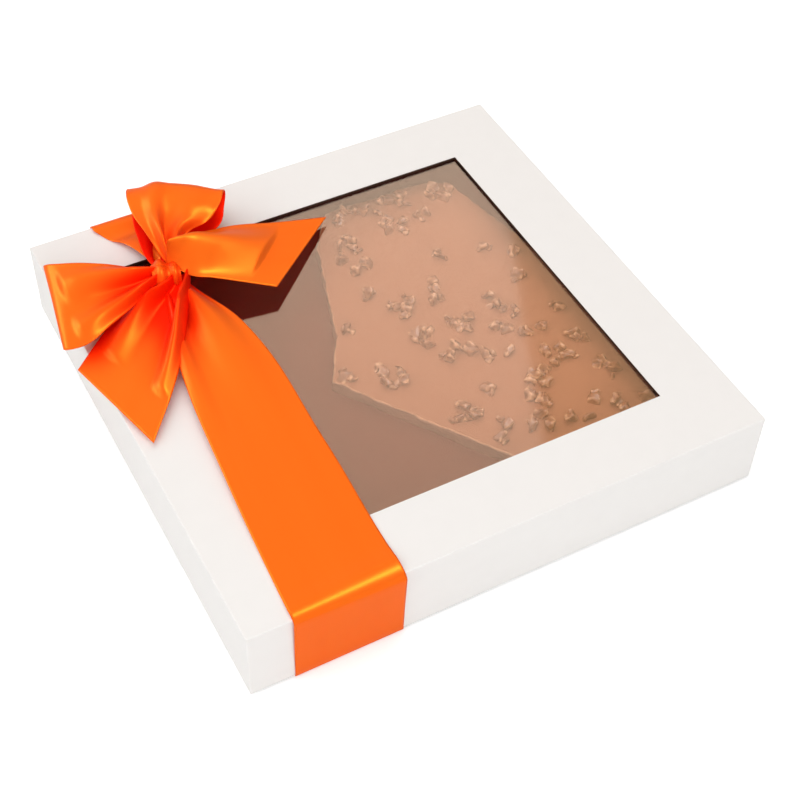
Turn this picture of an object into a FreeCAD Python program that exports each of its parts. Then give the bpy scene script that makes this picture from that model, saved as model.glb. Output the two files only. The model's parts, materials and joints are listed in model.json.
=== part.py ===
import FreeCAD, Part
import math
import os

# Whole box: millimetres, z up, origin at the middle of the underside, front wall at minus y
SIDE = 200.0
HEIGHT = 33.0
HALF = SIDE / 2

# Sheet stock
PAPER = 0.2
WALL_BOARD = 1.5
TOP_BOARD = 1.0
FLOOR_BOARD = 2.0
FILM = 0.3
CARD = 1.2

# Lid
RIM_HEIGHT = 1.2
EDGE_ROUND = 0.45
TURN_IN = 15.0
FILM_SIDE_GAP = 0.3

# Window in the lid top: margins measured from the outer edges
WINDOW_SIDE_MARGIN = 27.0
WINDOW_FRONT_MARGIN = 26.0
LINING_SETBACK = 3.0

# Base inside the lid
LID_FIT = 0.8
BASE_TURN_IN = 12.0

# Insert card under the slab
INSERT_FIT = 0.6
RISER = 3.0
RISER_INSET = 6.0

# Chocolate slab: corners of the broken outline, clockwise from the left point, seen from above
SLAB_THICK = 5.0
SLAB_SIDE_GAP = 7.4
HEAD_ROOM = 5.62
SLAB_EDGE = 0.6
SLAB_OUTLINE = [(-23, -5), (-11.5, 14.6), (1.2, 53.6), (4, 63), (16, 79.5), (61, 78.5),
                (70.5, 73), (80, 32), (88, -12), (86, -80), (30, -84), (17.7, -65.2)]

# Topping pieces on the slab: where single ones lie, and the middles of twos, threes and fours
SINGLES = [(51, 60), (9, 50), (9, 29), (45, 35), (63, 33), (71, 25), (36, 23), (-7, 16), (67, 12),
           (-18, -6), (44, -8), (56, -5), (72, -10), (61, -16), (43, -22), (27, -34), (71, -41), (72, -48),
           (58, -57)]
TWOS = [(21, 74), (32, 71), (14, 43), (32, 16), (51, 4), (23, -13), (32, -17), (50, -13), (70, -27),
        (40, -47), (20, -54), (49, -62), (65, -63), (60, -76)]
THREES = [(45, 73), (15, 57), (19, 17), (35, -1), (18, -1), (47, -38), (13, -41), (35, -57), (76, -68),
          (40, -75)]
FOURS = [(63, 69), (37, 59), (-2, -13), (57, -31)]
PIECE_RADIUS = 2.3
PIECE_HEIGHT = 3.9
PIECE_SPREAD = 0.2
PIECE_TAPER = 0.72
PIECE_TURN = 2.4
PIECE_TALL = 1.7
PIECE_ODD = 3.1
SIDE_ODD = 2.3
CLUSTER_STEP = 5.6

# Ribbon and bow: heights from here on are above the lid top
RIBBON_WIDTH = 40.0
RIBBON = 0.4
RIBBON_SEAT = 0.05
RIBBON_STATIONS = 25
RIBBON_PARTS = 12
STRAND_EDGE_RUN = 2.0
RIBBON_TUCK = 12.8
KNOT_FROM_LEFT = 39.5
KNOT_FROM_BACK = 47.0
KNOT_LONG = 15.0
KNOT_WIDE = 12.0
KNOT_LOW = 4.6
KNOT_HIGH = 13.6
KNOT_ROUND = 1.4
FRONT_STRAND_SHIFT = -3.5
BACK_STRAND_SHIFT = 5.5
STRAND_GATHER = 11.0
LOOP_GATHER = 8.0
STRAND_LEVEL = 6.5
TAIL_LEVEL = 9.6
RIGHT_TAIL_LEVEL = 12.4
LEFT_LOOP_LEVELS = (11.0, 7.6)
BACK_LOOP_LEVELS = (12.0, 9.2)

# Points that the two edges of each ribbon stretch pass through, measured from the middle of the knot
FRONT_STRAND_LEFT = [(-14.3, -42.3, 4.6), (-19.7, -94, 2.4)]
FRONT_STRAND_RIGHT = [(15.1, -30.6, 5.2), (17.5, -94, 2.4)]
BACK_STRAND_LEFT = [(-3, 15, 5.4), (-7.2, 30, 2.8)]
BACK_STRAND_RIGHT = [(13, 16, 5.4), (20, 30, 2.8)]
LEFT_LOOP_FRONT = [(-17.5, -9.8, 9.6), (-28, -14, 8.6), (-40.3, -18.6, 7.4), (-47.6, -15.6, 5.6),
                   (-40, -15, 4.4), (-24, -10.2, 6)]
LEFT_LOOP_BACK = [(-21.5, 11.5, 13.6), (-34.5, 18.5, 13.4), (-40.3, 24.5, 9), (-33.5, 23, 4.6),
                  (-20.5, 14.5, 4.4)]
BACK_LOOP_LEFT = [(-1.9, 16.4, 16), (-2.8, 29.8, 17.4), (-0.6, 40.5, 17.4), (2, 44.5, 13), (0.4, 40, 9),
                  (-3, 26, 8.4)]
BACK_LOOP_RIGHT = [(14, 14.5, 12.8), (22.5, 16.2, 13.4), (29, 20.6, 15.2), (35, 28.6, 13.6), (33, 25.4, 10),
                   (28, 18.5, 7.6), (18, 14.5, 7.6)]
LEFT_TAIL_FRONT = [(1.7, -14, 9), (-14.5, -42.4, 5.4), (-34.9, -67.8, 2.4)]
LEFT_TAIL_BACK = [(-14.5, -9.5, 5.8), (-27, -13, 3.6), (-36.5, -18, 2.8), (-45.9, -24.1, 2.4)]
RIGHT_TAIL_FRONT = [(13.7, -6.6, 7.4), (23.3, -11.8, 5.2), (34.5, -18.8, 3.6)]
RIGHT_TAIL_BACK = [(12.5, 9.6, 13.8), (20, 12.4, 12.8), (31, 13.4, 9.8), (48.5, 11.5, 6), (68.1, 8, 3.6)]

# Heights and half widths that follow from the sizes above
LID_BOARD_HALF = HALF - PAPER
LID_WALL_INNER = LID_BOARD_HALF - WALL_BOARD
LID_INNER = LID_WALL_INNER - PAPER
LID_BOARD_TOP = HEIGHT - PAPER
LID_WALL_TOP = LID_BOARD_TOP - TOP_BOARD
LID_WALL_LOW = RIM_HEIGHT + PAPER
FILM_LOW = LID_WALL_TOP - FILM
LINING_LOW = FILM_LOW - PAPER
WINDOW_X = HALF - WINDOW_SIDE_MARGIN
WINDOW_Y = HALF - WINDOW_FRONT_MARGIN
BASE_OUTER = LID_INNER - LID_FIT
BASE_BOARD_HALF = BASE_OUTER - PAPER
BASE_WALL_INNER = BASE_BOARD_HALF - WALL_BOARD
BASE_INNER = BASE_WALL_INNER - PAPER
BASE_TOP = LINING_LOW
BASE_WALL_TOP = BASE_TOP - PAPER
BASE_WALL_LOW = PAPER + FLOOR_BOARD
BASE_FLOOR = BASE_WALL_LOW + PAPER
BASE_TURN_LOW = BASE_WALL_TOP - BASE_TURN_IN
INSERT_HALF = BASE_INNER - INSERT_FIT
SLAB_TOP = LINING_LOW - HEAD_ROOM - PIECE_HEIGHT * (1 + PIECE_SPREAD)
INSERT_TOP = SLAB_TOP - SLAB_THICK
INSERT_LOW = INSERT_TOP - CARD
SLAB_REACH = max(max(abs(x), abs(y)) for x, y in SLAB_OUTLINE)
SLAB_FIT = (BASE_INNER - SLAB_SIDE_GAP) / SLAB_REACH
KNOT_X = KNOT_FROM_LEFT - HALF
KNOT_Y = HALF - KNOT_FROM_BACK
STRAND_END = HALF - STRAND_EDGE_RUN

os.makedirs("parts", exist_ok=True)


def save(name, shape):
    shape.exportStep("parts/" + name + ".step")


def point(x, y, z):
    return FreeCAD.Vector(x, y, z)


def block(x0, x1, y0, y1, z0, z1):
    return Part.makeBox(x1 - x0, y1 - y0, z1 - z0, point(x0, y0, z0))


def square(half, z0, z1):
    return block(-half, half, -half, half, z0, z1)


def ring(outer, inner, z0, z1):
    return square(outer, z0, z1).cut(square(inner, z0, z1))


def window(z0, z1, extra=0.0):
    return block(-WINDOW_X - extra, WINDOW_X + extra, -WINDOW_Y - extra, WINDOW_Y + extra, z0, z1)


def walls(prefix, outer, inner, z0, z1):
    # Front and back boards run the whole side; left and right boards stand between them
    save(prefix + "_front_board", block(-outer, outer, -outer, -inner, z0, z1))
    save(prefix + "_back_board", block(-outer, outer, inner, outer, z0, z1))
    save(prefix + "_left_board", block(-outer, -inner, -inner, inner, z0, z1))
    save(prefix + "_right_board", block(inner, outer, -inner, inner, z0, z1))


def smooth_line(points):
    # A ribbon edge through points measured from the knot and the lid top
    curve = Part.BSplineCurve()
    curve.interpolate([point(KNOT_X + x, KNOT_Y + y, HEIGHT + z) for x, y, z in points])
    return curve.discretize(Number=RIBBON_STATIONS)


def even_curve(points):
    # A curve whose parameter runs evenly through its points, so that facing edges keep step
    curve = Part.BSplineCurve()
    last = len(points) - 1
    curve.interpolate(Points=points, Parameters=[i / last for i in range(last + 1)])
    return curve


def strip(left, right):
    # A ribbon stretch between its two edges: ruled faces all round, level ends cut upright
    upper_left, upper_right, lower_right, lower_left = [], [], [], []
    last = len(left) - 1
    for i in range(len(left)):
        before = max(i - 1, 0)
        after = min(i + 1, last)
        along = (left[after] + right[after]) - (left[before] + right[before])
        normal = along.cross(right[i] - left[i])
        normal.normalize()
        if i in (0, last):
            normal = point(0, 0, math.copysign(1, normal.z))
        lift = normal * (RIBBON / 2)
        upper_left.append(left[i] + lift)
        upper_right.append(right[i] + lift)
        lower_right.append(right[i] - lift)
        lower_left.append(left[i] - lift)
    corners = [upper_left, upper_right, lower_right, lower_left]
    curves = [even_curve(line) for line in corners]
    faces = []
    for part in range(RIBBON_PARTS):
        start = part / RIBBON_PARTS
        stop = (part + 1) / RIBBON_PARTS
        edges = [curve.toShape(start, stop) for curve in curves]
        faces += [Part.makeRuledSurface(edges[k - 1], edges[k], 1) for k in range(4)]
    for i in (0, last):
        ends = [line[i] for line in corners]
        faces.append(Part.Face(Part.makePolygon(ends + ends[:1])))
    shell = Part.makeShell(faces)
    shell.sewShape()
    solid = Part.makeSolid(Part.Shell(shell.Faces))
    if solid.Volume < 0:
        solid.reverse()
    return solid


def drop_edges(offset, side):
    # One face of the ribbon as it runs over the lid edge, down the wall, round the rim and up inside
    radius = EDGE_ROUND + offset
    quarter = math.pi / 2
    bends = [(HALF - EDGE_ROUND, HEIGHT - EDGE_ROUND, quarter),
             (HALF - EDGE_ROUND, RIM_HEIGHT + EDGE_ROUND, 0),
             (LID_INNER + EDGE_ROUND, RIM_HEIGHT + EDGE_ROUND, -quarter)]
    edges = []
    here = point(0, side * STRAND_END, HEIGHT + offset)
    for y, z, start in bends:
        turn = []
        for swing in (start, start - quarter / 2, start - quarter):
            turn.append(point(0, side * (y + radius * math.cos(swing)), z + radius * math.sin(swing)))
        edges.append(Part.makeLine(here, turn[0]))
        edges.append(Part.Arc(turn[0], turn[1], turn[2]).toShape())
        here = turn[2]
    end = point(0, here.y, RIM_HEIGHT + RIBBON_TUCK)
    edges.append(Part.makeLine(here, end))
    return edges, end


def drop(centre_x, side):
    # The hanging end of the ribbon; side is -1 at the front wall and 1 at the back wall
    inner, inner_end = drop_edges(RIBBON_SEAT, side)
    outer, outer_end = drop_edges(RIBBON_SEAT + RIBBON, side)
    start = Part.makeLine(inner[0].Vertexes[0].Point, outer[0].Vertexes[0].Point)
    edges = inner + outer + [start, Part.makeLine(inner_end, outer_end)]
    face = Part.Face(Part.Wire(Part.__sortEdges__(edges)))
    face.translate(point(centre_x - RIBBON_WIDTH / 2, 0, 0))
    return face.extrude(point(RIBBON_WIDTH, 0, 0))


# Lid boards: a top board with the window cut out, on four wall boards
top_board = square(LID_BOARD_HALF, LID_WALL_TOP, LID_BOARD_TOP)
save("lid_top_board", top_board.cut(window(LID_WALL_TOP, LID_BOARD_TOP)))
walls("lid", LID_BOARD_HALF, LID_WALL_INNER, LID_WALL_LOW, LID_WALL_TOP)

# Lid wrap: white paper over the boards, turned round the rim and up inside the walls
outside = square(HALF, RIM_HEIGHT, HEIGHT)
wrap = outside.makeFillet(EDGE_ROUND, outside.Edges)
wrap = wrap.cut(square(LID_BOARD_HALF, LID_WALL_LOW, LID_BOARD_TOP))
wrap = wrap.cut(square(LID_INNER, RIM_HEIGHT, LID_WALL_LOW))
wrap = wrap.cut(window(LID_BOARD_TOP, HEIGHT))
wrap = wrap.fuse(ring(LID_WALL_INNER, LID_INNER, LID_WALL_LOW, LID_WALL_LOW + TURN_IN)).removeSplitter()
rim_edges = []
for edge in wrap.Edges:
    box = edge.BoundBox
    reach = max(box.XMax, box.YMax)
    if box.ZMax < RIM_HEIGHT + PAPER / 2 and abs(reach - LID_INNER) < PAPER / 2:
        rim_edges.append(edge)
save("lid_wrap", wrap.makeFillet(EDGE_ROUND, rim_edges))

# Clear film under the top board, and the lining frame that holds it
save("window_film", square(LID_WALL_INNER - FILM_SIDE_GAP, FILM_LOW, LID_WALL_TOP))
lining = square(LID_WALL_INNER - FILM_SIDE_GAP, LINING_LOW, FILM_LOW)
save("lid_lining", lining.cut(window(LINING_LOW, FILM_LOW, LINING_SETBACK)))

# Base tray: floor board, four wall boards, wrap, underside sheet and lining
save("base_floor_board", square(BASE_BOARD_HALF, PAPER, BASE_WALL_LOW))
walls("base", BASE_BOARD_HALF, BASE_WALL_INNER, BASE_WALL_LOW, BASE_WALL_TOP)
tray_wrap = ring(BASE_OUTER, BASE_BOARD_HALF, PAPER, BASE_WALL_TOP)
tray_wrap = tray_wrap.fuse(ring(BASE_OUTER, BASE_INNER, BASE_WALL_TOP, BASE_TOP))
tray_wrap = tray_wrap.fuse(ring(BASE_WALL_INNER, BASE_INNER, BASE_TURN_LOW, BASE_WALL_TOP))
save("base_wrap", tray_wrap.removeSplitter())
save("base_underside_sheet", square(BASE_BOARD_HALF, 0, PAPER))
tray_lining = square(BASE_WALL_INNER, BASE_WALL_LOW, BASE_FLOOR)
tray_lining = tray_lining.fuse(ring(BASE_WALL_INNER, BASE_INNER, BASE_FLOOR, BASE_TURN_LOW))
save("base_lining", tray_lining.removeSplitter())

# Insert: a flat card on four risers that stand on the tray floor
save("insert_platform", square(INSERT_HALF, INSERT_LOW, INSERT_TOP))
far = INSERT_HALF - RISER_INSET
near = far - RISER
save("insert_riser_front", block(-far, far, -far, -near, BASE_FLOOR, INSERT_LOW))
save("insert_riser_back", block(-far, far, near, far, BASE_FLOOR, INSERT_LOW))
save("insert_riser_left", block(-far, -near, -near, near, BASE_FLOOR, INSERT_LOW))
save("insert_riser_right", block(near, far, -near, near, BASE_FLOOR, INSERT_LOW))

# Chocolate slab: a broken shard with a softened top edge
outline = [point(x * SLAB_FIT, y * SLAB_FIT, INSERT_TOP) for x, y in SLAB_OUTLINE]
slab = Part.Face(Part.makePolygon(outline + outline[:1])).extrude(point(0, 0, SLAB_THICK))
top_edges = [e for e in slab.Edges if e.BoundBox.ZMin > SLAB_TOP - SLAB_EDGE]
save("chocolate_slab", slab.makeChamfer(SLAB_EDGE, top_edges))


def topping_piece(x, y, number):
    # A chipped crumb: four to six sides, its size and turn following its number
    sides = 4 + number % 3
    turn = number * PIECE_TURN
    height = PIECE_HEIGHT * (1 + PIECE_SPREAD * math.sin(number * PIECE_TALL))
    low = []
    high = []
    for i in range(sides):
        angle = turn + 2 * math.pi * i / sides
        radius = PIECE_RADIUS * (1 + PIECE_SPREAD * math.sin(number * PIECE_ODD + i * SIDE_ODD))
        dx = radius * math.cos(angle)
        dy = radius * math.sin(angle)
        low.append(point((x + dx) * SLAB_FIT, (y + dy) * SLAB_FIT, SLAB_TOP))
        dx *= PIECE_TAPER
        dy *= PIECE_TAPER
        high.append(point((x + dx) * SLAB_FIT, (y + dy) * SLAB_FIT, SLAB_TOP + height))
    wires = [Part.makePolygon(ends + ends[:1]) for ends in (low, high)]
    return Part.makeLoft(wires, True, True)


# Topping pieces: single ones, and small rings of two, three and four
pieces = []
for count, places in enumerate([SINGLES, TWOS, THREES, FOURS], 1):
    spacing = 0.0 if count == 1 else CLUSTER_STEP / (2 * math.sin(math.pi / count))
    for x, y in places:
        for i in range(count):
            angle = x + y + 2 * math.pi * i / count
            piece_x = x + spacing * math.cos(angle)
            piece_y = y + spacing * math.sin(angle)
            pieces.append(topping_piece(piece_x, piece_y, len(pieces)))
save("topping_pieces", Part.makeCompound(pieces))

# Knot
half_long = KNOT_LONG / 2
half_wide = KNOT_WIDE / 2
knot = block(KNOT_X - half_long, KNOT_X + half_long, KNOT_Y - half_wide, KNOT_Y + half_wide,
             HEIGHT + KNOT_LOW, HEIGHT + KNOT_HIGH)
save("bow_knot", knot.makeFillet(KNOT_ROUND, knot.Edges))

# Front strand: gathered at the knot, full width before the front edge, then down the front wall
flat_level = RIBBON_SEAT + RIBBON / 2
half_width = RIBBON_WIDTH / 2
half_gather = STRAND_GATHER / 2
front_end = -STRAND_END - KNOT_Y
left = smooth_line([(-half_gather, -half_wide, STRAND_LEVEL)] + FRONT_STRAND_LEFT
                   + [(FRONT_STRAND_SHIFT - half_width, front_end, flat_level)])
right = smooth_line([(half_gather, -half_wide, STRAND_LEVEL)] + FRONT_STRAND_RIGHT
                    + [(FRONT_STRAND_SHIFT + half_width, front_end, flat_level)])
save("ribbon_front_strand", strip(left, right))
save("ribbon_front_drop", drop(KNOT_X + FRONT_STRAND_SHIFT, -1))

# Back strand: the same, to the back edge and down the back wall
back_end = STRAND_END - KNOT_Y
left = smooth_line([(-half_gather, half_wide, STRAND_LEVEL)] + BACK_STRAND_LEFT
                   + [(BACK_STRAND_SHIFT - half_width, back_end, flat_level)])
right = smooth_line([(half_gather, half_wide, STRAND_LEVEL)] + BACK_STRAND_RIGHT
                    + [(BACK_STRAND_SHIFT + half_width, back_end, flat_level)])
save("ribbon_back_strand", strip(left, right))
save("ribbon_back_drop", drop(KNOT_X + BACK_STRAND_SHIFT, 1))

# Left loop: out over the top, round the fold beyond the lid edge and back underneath
half_loop = LOOP_GATHER / 2
upper, lower = LEFT_LOOP_LEVELS
left = smooth_line([(-half_long, -half_loop, upper)] + LEFT_LOOP_FRONT + [(-half_long, -half_loop, lower)])
right = smooth_line([(-half_long, half_loop, upper)] + LEFT_LOOP_BACK + [(-half_long, half_loop, lower)])
save("bow_left_loop", strip(left, right))

# Back loop: stands off the knot towards the back edge
upper, lower = BACK_LOOP_LEVELS
left = smooth_line([(-half_gather, half_wide, upper)] + BACK_LOOP_LEFT + [(-half_gather, half_wide, lower)])
right = smooth_line([(half_gather, half_wide, upper)] + BACK_LOOP_RIGHT + [(half_gather, half_wide, lower)])
save("bow_back_loop", strip(left, right))

# Tails: both run out flat and are cut on the slant
left = smooth_line([(half_gather, -half_wide, TAIL_LEVEL)] + LEFT_TAIL_FRONT)
right = smooth_line([(-half_gather, -half_wide, TAIL_LEVEL)] + LEFT_TAIL_BACK)
save("bow_left_tail", strip(left, right))
left = smooth_line([(half_long, -half_loop, TAIL_LEVEL)] + RIGHT_TAIL_FRONT)
right = smooth_line([(half_long, half_loop, RIGHT_TAIL_LEVEL)] + RIGHT_TAIL_BACK)
save("bow_right_tail", strip(left, right))
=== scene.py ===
# %% [markdown]
# # A windowed gift box with a chocolate slab and a ribbon bow
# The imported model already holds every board, sheet and piece in its place, in metres. This lesson
# dresses that frame: nodes whose shape is right keep it and get a real finish, and the soft or rough
# ones, which are the ribbon, the slab and its topping, are replaced by meshes of their own.

# %% Load the frame
import json
import math

import bmesh
import bpy
import numpy as np
from mathutils import Euler, Matrix, Vector, noise
from mathutils.bvhtree import BVHTree


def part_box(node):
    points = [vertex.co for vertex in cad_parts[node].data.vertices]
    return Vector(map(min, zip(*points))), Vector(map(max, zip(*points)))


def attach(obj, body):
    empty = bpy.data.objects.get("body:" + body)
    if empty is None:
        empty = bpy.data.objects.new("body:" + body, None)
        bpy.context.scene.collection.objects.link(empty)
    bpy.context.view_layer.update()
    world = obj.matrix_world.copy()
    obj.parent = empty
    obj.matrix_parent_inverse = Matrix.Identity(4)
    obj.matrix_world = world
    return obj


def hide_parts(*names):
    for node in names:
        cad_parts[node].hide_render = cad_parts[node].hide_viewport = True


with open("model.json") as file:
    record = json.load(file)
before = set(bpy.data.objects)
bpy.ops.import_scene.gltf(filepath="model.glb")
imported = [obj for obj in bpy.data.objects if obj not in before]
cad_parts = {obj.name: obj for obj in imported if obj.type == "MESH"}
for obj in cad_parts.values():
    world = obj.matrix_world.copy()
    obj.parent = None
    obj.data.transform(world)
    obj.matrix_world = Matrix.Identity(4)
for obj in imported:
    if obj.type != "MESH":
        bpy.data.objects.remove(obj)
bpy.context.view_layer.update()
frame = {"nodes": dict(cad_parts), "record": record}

MM = 0.001
nodes = frame["nodes"]

# %% [markdown]
# ## Camera
# The picture was taken from the front left, about 48 degrees above the table, with a lens long enough
# to keep the box nearly square. Placing the camera first means that every later choice can be judged
# against the picture.

# %% Camera
CAMERA_PLACE = Vector((-0.1909, -0.3510, 0.4412))
CAMERA_FORWARD = Vector((0.3297, 0.5794, -0.7454))
CAMERA_UP = Vector((0.3390, 0.6642, 0.6663))
CAMERA_LENS_MM = 69.9

camera_data = bpy.data.cameras.new("camera")
camera_data.lens = CAMERA_LENS_MM
camera_data.sensor_width = 36.0
camera_data.clip_start = 0.01
camera = bpy.data.objects.new("camera", camera_data)
camera_right = CAMERA_FORWARD.cross(CAMERA_UP)
turn = Matrix((camera_right, CAMERA_UP, -CAMERA_FORWARD)).transposed()
camera.matrix_world = Matrix.Translation(CAMERA_PLACE) @ turn.to_4x4()
bpy.context.scene.collection.objects.link(camera)
bpy.context.scene.camera = camera
bpy.context.scene.view_settings.view_transform = "Standard"
print("camera at", [round(v, 3) for v in CAMERA_PLACE])

# %% [markdown]
# ## Helpers for finishes
# Two functions carry all the materials. One turns a hex colour, as read off a picture, into the linear
# values that shaders expect. The other adds a node, sets it and links it in one call, so a material
# reads from its texture to its shader like a short recipe.

# %% Colour and node helpers
def colour(hex_code):
    """Linear RGBA from an sRGB hex code."""
    parts = [int(hex_code[i:i + 2], 16) / 255 for i in (0, 2, 4)]
    linear = [p / 12.92 if p <= 0.04045 else ((p + 0.055) / 1.055) ** 2.4 for p in parts]
    return (*linear, 1.0)


def add_node(tree, kind, inputs=None, **settings):
    """A new node with its settings; an input is a plain value or the socket that feeds it."""
    node = tree.nodes.new(kind)
    for name, value in settings.items():
        setattr(node, name, value)
    for socket, value in (inputs or {}).items():
        if isinstance(value, bpy.types.NodeSocket):
            tree.links.new(value, node.inputs[socket])
        else:
            node.inputs[socket].default_value = value
    return node


def new_material(name):
    """An empty node material and its tree."""
    material = bpy.data.materials.new(name)
    material.use_nodes = True
    material.node_tree.nodes.clear()
    return material, material.node_tree


def per_metre(size_mm):
    """Texture scale that repeats once in so many millimetres, on coordinates in metres."""
    return 1.0 / (size_mm * MM)


print("orange as linear:", [round(v, 3) for v in colour("FF7A20")])

# %% [markdown]
# ## White wrap paper
# The lid is a rigid board box covered with smooth, uncoated white paper. Up close such paper has a
# faint cloudy formation and short fibres, and it scatters light with hardly any gloss. Two noises on
# Object coordinates give the cloud and the fibre, and a low bump keeps the surface from looking like
# plastic.

# %% Uncoated paper
PAPER_FIBRE_MM = 0.35
PAPER_CLOUD_MM = 7.0


def paper_finish(name, pale, deep, roughness, fibre_height_mm):
    """Paper or card: two tones in a soft cloud, and a fine fibre bump."""
    material, tree = new_material(name)
    place = add_node(tree, "ShaderNodeTexCoord").outputs["Object"]
    cloud = add_node(tree, "ShaderNodeTexNoise",
                     {"Vector": place, "Scale": per_metre(PAPER_CLOUD_MM), "Detail": 4.0})
    tone = add_node(tree, "ShaderNodeMix",
                    {"Factor": cloud.outputs["Fac"], "A": colour(pale), "B": colour(deep)}, data_type="RGBA")
    fibre = add_node(tree, "ShaderNodeTexNoise",
                     {"Vector": place, "Scale": per_metre(PAPER_FIBRE_MM), "Detail": 3.0, "Roughness": 0.6})
    bump = add_node(tree, "ShaderNodeBump",
                    {"Height": fibre.outputs["Fac"], "Distance": fibre_height_mm * MM, "Strength": 0.5})
    shader = add_node(tree, "ShaderNodeBsdfPrincipled",
                      {"Base Color": tone.outputs["Result"], "Roughness": roughness,
                       "Specular IOR Level": 0.3, "Normal": bump.outputs["Normal"]})
    add_node(tree, "ShaderNodeOutputMaterial", {"Surface": shader.outputs["BSDF"]})
    return material


wrap_paper = paper_finish("uncoated_white_wrap_paper", "E7E4E1", "E4E1DE", 0.62, 0.02)
lining_paper = paper_finish("matt_brown_lining_paper", "57341F", "4C2C1A", 0.75, 0.04)
insert_card = paper_finish("matt_brown_insert_card", "64241A", "5C2016", 0.7, 0.015)
dyed_board = paper_finish("dark_dyed_board", "4A342A", "402C22", 0.8, 0.08)
grey_board = paper_finish("grey_chipboard", "8E887E", "7F796F", 0.85, 0.1)
print("paper and board finishes:", wrap_paper.name, insert_card.name, dyed_board.name)

# %% [markdown]
# ## Clear film
# The window is a thin sheet of clear PET. It bends light so little that refraction would only add
# noise, so light goes straight through and a Fresnel share of it is mirrored. Inside the sheet the
# Fresnel node would see total reflection, and the Backfacing output gives it the right index there. A
# very low ripple makes reflections waver as they do in a stretched film.

# %% Clear PET film
FILM_IOR = 1.57
FILM_RIPPLE_MM = 45.0
FILM_RIPPLE_HEIGHT_MM = 0.15
FILM_BLUR = 0.06

clear_film, film_tree = new_material("clear_pet_film")
place = add_node(film_tree, "ShaderNodeTexCoord").outputs["Object"]
ripple = add_node(film_tree, "ShaderNodeTexNoise",
                  {"Vector": place, "Scale": per_metre(FILM_RIPPLE_MM), "Detail": 1.0})
ripple_bump = add_node(film_tree, "ShaderNodeBump",
                       {"Height": ripple.outputs["Fac"], "Distance": FILM_RIPPLE_HEIGHT_MM * MM,
                        "Strength": 0.3})
behind = add_node(film_tree, "ShaderNodeNewGeometry").outputs["Backfacing"]
index = add_node(film_tree, "ShaderNodeMapRange",
                 {"Value": behind, "To Min": FILM_IOR, "To Max": 1 / FILM_IOR})
mirror_share = add_node(film_tree, "ShaderNodeFresnel",
                        {"IOR": index.outputs["Result"], "Normal": ripple_bump.outputs["Normal"]})
clear = add_node(film_tree, "ShaderNodeBsdfTransparent", {"Color": colour("FFFFFF")})
mirror = add_node(film_tree, "ShaderNodeBsdfGlossy",
                  {"Color": colour("FFFFFF"), "Roughness": FILM_BLUR,
                   "Normal": ripple_bump.outputs["Normal"]})
film_mix = add_node(film_tree, "ShaderNodeMixShader",
                    {0: mirror_share.outputs["Fac"], 1: clear.outputs["BSDF"], 2: mirror.outputs["BSDF"]})
add_node(film_tree, "ShaderNodeOutputMaterial", {"Surface": film_mix.outputs["Shader"]})
print("film index:", FILM_IOR)

# %% [markdown]
# ## Milk chocolate
# Milk chocolate set against a mould has a satin skin, faint flow marks and a fine grain. A broken edge
# is duller and rougher. One recipe gives all of this, with its own tones, roughness and grain height for
# the skin, the fracture and the topping. A point attribute, filled in with the meshes, paints light and
# shade into the colour: a painted highlight on the rims of a crumb and on the upper edge of the fracture,
# and painted shade in the hollows of a crumb.

# %% Milk chocolate
CHOCOLATE_FLOW_MM = 14.0
CHOCOLATE_GRAIN_MM = 0.8
CHOCOLATE_IOR = 1.46
GLOSS_SPREAD = 0.06
# Painted light: a point attribute paints a highlight on rims and shade in hollows, with these ranges and
# tones.
RIM_FROM, RIM_FULL = 0.05, 0.5
HOLLOW_FROM, HOLLOW_FULL = -0.05, -0.45
HOLLOW_SHADE_SHARE = 0.65
PAINTED_RIM_HIGHLIGHT_TONE = "DCA47C"
PAINTED_HOLLOW_SHADE_TONE = "5C2E18"


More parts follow.
